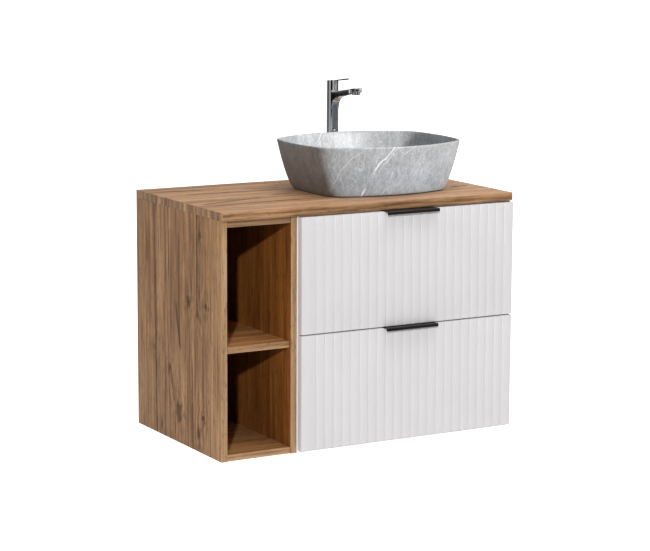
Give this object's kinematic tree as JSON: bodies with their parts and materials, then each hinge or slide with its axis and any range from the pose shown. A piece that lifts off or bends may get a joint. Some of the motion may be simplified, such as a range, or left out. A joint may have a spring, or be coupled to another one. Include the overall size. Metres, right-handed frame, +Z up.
{
  "type": "vessel sink on vanity",
  "caption": "Wall-hung vanity with an open oak shelf unit, a cabinet with ribbed white drawers, a grey vessel basin and a tall mixer.",
  "frame": {"origin": "on the wall plane, at the middle of the width, level with the cabinets' underside", "axes": "+X to the right seen from the front, +Y into the wall, +Z up"},
  "size_m": [0.8, 0.4955, 0.8542],
  "materials": {
    "oak": "satin wild oak decor",
    "beech": "raw beech",
    "stone_grey": "satin grey marble look",
    "seal": "matt",
    "chrome": "polished",
    "steel": "zinc plated",
    "cartridge": "moulded",
    "white_board": "white melamine board",
    "white_front": "satin white film on milled board",
    "drawer_board": "light grey melamine board",
    "guard": "moulded",
    "black": "matt black"
  },
  "bodies": {
    "cabinet": {"basin": "stone_grey", "basin_seal": "seal", "carcass_back_rail": "white_board", "carcass_bottom": "white_board", "carcass_front_rail": "white_board", "carcass_lower_rail": "white_board", "carcass_side_left": "white_board", "carcass_side_right": "white_board", "dowels": "beech", "hangers": "steel", "joining_screws": "steel", "runner_fixed": "steel", "shelf_unit_back": "oak", "shelf_unit_bottom": "oak", "shelf_unit_shelf": "oak", "shelf_unit_side_left": "oak", "shelf_unit_side_right": "oak", "shelf_unit_top": "oak", "tap_aerator": "chrome", "tap_base_seal": "seal", "tap_body": "chrome", "tap_cartridge": "cartridge", "tap_cartridge_ring": "chrome", "tap_clamp_plate": "steel", "tap_nut": "steel", "tap_stud": "steel", "trap_bottle": "chrome", "trap_cup": "chrome", "trap_nuts": "chrome", "trap_outlet_pipe": "chrome", "trap_rosette": "chrome", "trap_tailpipe": "chrome", "wall_plates": "steel", "waste_body": "chrome", "waste_nut": "chrome", "worktop": "oak", "worktop_screws": "steel"},
    "lower_drawer": {"drawer_lower_back": "drawer_board", "drawer_lower_bottom": "drawer_board", "drawer_lower_front": "white_front", "drawer_lower_pull": "black", "drawer_lower_pull_screws": "steel", "drawer_lower_side_left": "drawer_board", "drawer_lower_side_right": "drawer_board", "runner_lower_inner": "steel"},
    "upper_drawer": {"drawer_upper_back": "drawer_board", "drawer_upper_bottom": "drawer_board", "drawer_upper_front": "white_front", "drawer_upper_pull": "black", "drawer_upper_pull_screws": "steel", "drawer_upper_side_left": "drawer_board", "drawer_upper_side_right": "drawer_board", "drawer_upper_siphon_guard": "guard", "runner_upper_inner": "steel"},
    "lower_middle_rails": {"runner_lower_middle": "steel"},
    "upper_middle_rails": {"runner_upper_middle": "steel"},
    "mixer_handle": {"tap_handle": "chrome", "tap_stem": "steel"},
    "mixer_turret": {"tap_stem_carrier": "cartridge"},
    "waste_plug": {"waste_plug": "chrome"}
  },
  "joints": [
    {"name": "upper_drawer_slide", "type": "slide", "parent": "cabinet", "child": "upper_drawer", "axis": [0, -1, 0], "range_m": [0, 0.385]},
    {"name": "upper_middle_slide", "type": "slide", "parent": "cabinet", "child": "upper_middle_rails", "axis": [0, -1, 0], "range_m": [0, 0.1925]},
    {"name": "lower_drawer_slide", "type": "slide", "parent": "cabinet", "child": "lower_drawer", "axis": [0, -1, 0], "range_m": [0, 0.385]},
    {"name": "lower_middle_slide", "type": "slide", "parent": "cabinet", "child": "lower_middle_rails", "axis": [0, -1, 0], "range_m": [0, 0.1925]},
    {"name": "mixer_turn", "type": "hinge", "parent": "cabinet", "child": "mixer_turret", "pos_m": [0.135, -0.038, 0.802], "axis": [0, 0, 1], "range_deg": [-50, 50]},
    {"name": "mixer_lift", "type": "hinge", "parent": "mixer_turret", "child": "mixer_handle", "pos_m": [0.135, -0.038, 0.802], "axis": [-1, 0, 0], "range_deg": [0, 22]},
    {"name": "plug_lift", "type": "slide", "parent": "cabinet", "child": "waste_plug", "axis": [0, 0, 1], "range_m": [0, 0.008]}
  ],
  "couplings": [
    {"joint": "upper_middle_slide", "follows": "upper_drawer_slide", "ratio": 0.5},
    {"joint": "lower_middle_slide", "follows": "lower_drawer_slide", "ratio": 0.5}
  ]
}
